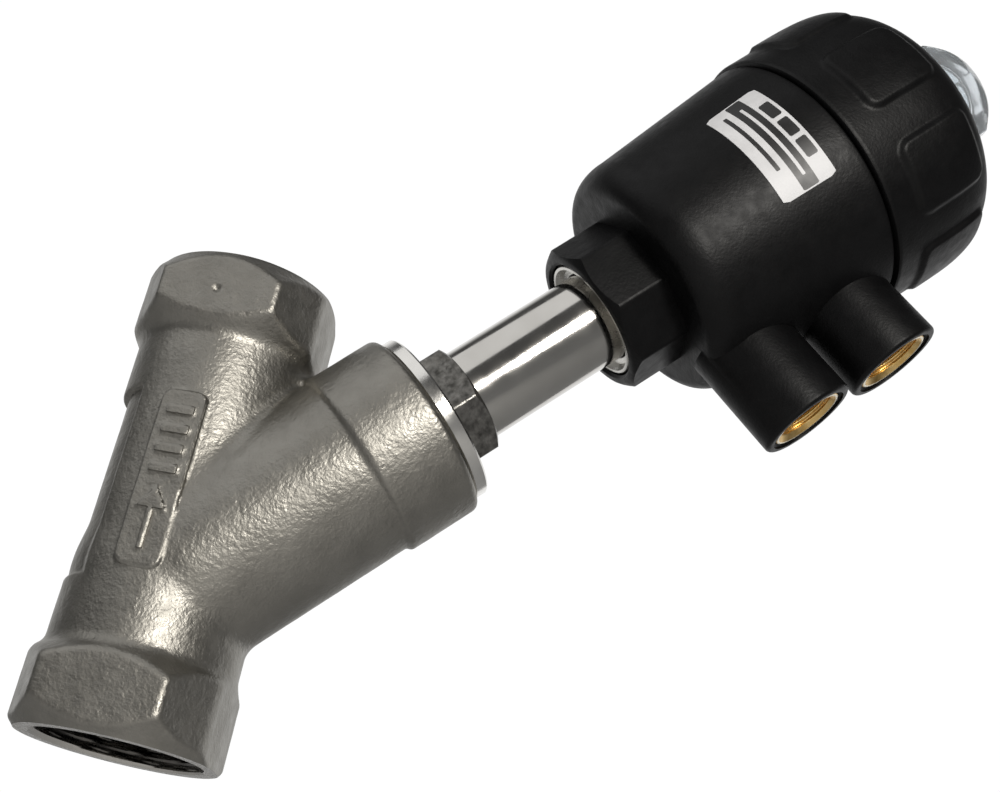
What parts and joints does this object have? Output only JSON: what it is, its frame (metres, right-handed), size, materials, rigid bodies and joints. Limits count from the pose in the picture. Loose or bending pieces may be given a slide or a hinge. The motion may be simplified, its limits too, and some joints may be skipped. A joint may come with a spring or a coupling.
{
  "type": "pneumatic angle seat valve",
  "caption": "Angle seat valve: a cast Y body with threaded hexagon ends and a spring-return piston actuator on a slanted neck, with side air ports and a clear sight cap.",
  "frame": {"origin": "centre of the inlet end face, on the axis of the pipe", "axes": "+Z along the pipe from inlet to outlet; the actuator leans from +Z towards +X at 45 degrees; -Y is the side with the raised plate and the label"},
  "size_m": [0.1678, 0.0622, 0.1798],
  "materials": {
    "cast_stainless": "sand-cast stainless steel, rough",
    "machined_steel": "turned and milled stainless steel",
    "polished_steel": "polished stainless steel",
    "black_plastic": "glass-filled nylon, satin",
    "brass": "turned brass",
    "clear_plastic": "clear, moulded",
    "white_seal": "PTFE",
    "black_rubber": "moulded rubber",
    "spring_steel": "drawn wire",
    "indicator_red": "moulded",
    "label_foil": "printed foil"
  },
  "bodies": {
    "valve": {"valve_body": "cast_stainless", "body_gasket": "white_seal", "bonnet": "machined_steel", "packing_support": "machined_steel", "packing_spring": "spring_steel", "packing_follower": "machined_steel", "packing_ring_1": "white_seal", "packing_ring_2": "white_seal", "packing_ring_3": "white_seal", "packing_gland": "machined_steel", "neck_tube": "polished_steel"},
    "stem": {"stem": "polished_steel", "plug": "machined_steel", "plug_seal": "white_seal", "seal_washer": "machined_steel", "plug_nut": "machined_steel", "piston": "machined_steel", "piston_seal": "black_rubber", "piston_wear_ring": "white_seal", "piston_washer": "machined_steel", "piston_nut": "machined_steel", "position_indicator": "indicator_red"},
    "actuator": {"actuator_housing": "black_plastic", "swivel_nut": "polished_steel", "rod_bush": "white_seal", "rod_seal": "black_rubber", "actuator_cover": "black_plastic", "cover_o_ring": "black_rubber", "port_insert_lower": "brass", "port_insert_upper": "brass", "sight_cap": "clear_plastic", "outer_spring": "spring_steel", "inner_spring": "spring_steel", "label_plate": "label_foil"}
  },
  "joints": [
    {"name": "stem_slide", "type": "slide", "parent": "valve", "child": "stem", "axis": [0.7071, 0, 0.7071], "range_m": [0, 0.012], "stiffness_N_per_m": 2500, "springref_m": -0.008, "deforming": ["outer_spring", "inner_spring"]},
    {"name": "actuator_swivel", "type": "hinge", "parent": "valve", "child": "actuator", "pos_m": [0, 0, 0.0317], "axis": [0.7071, 0, 0.7071], "continuous": true}
  ]
}
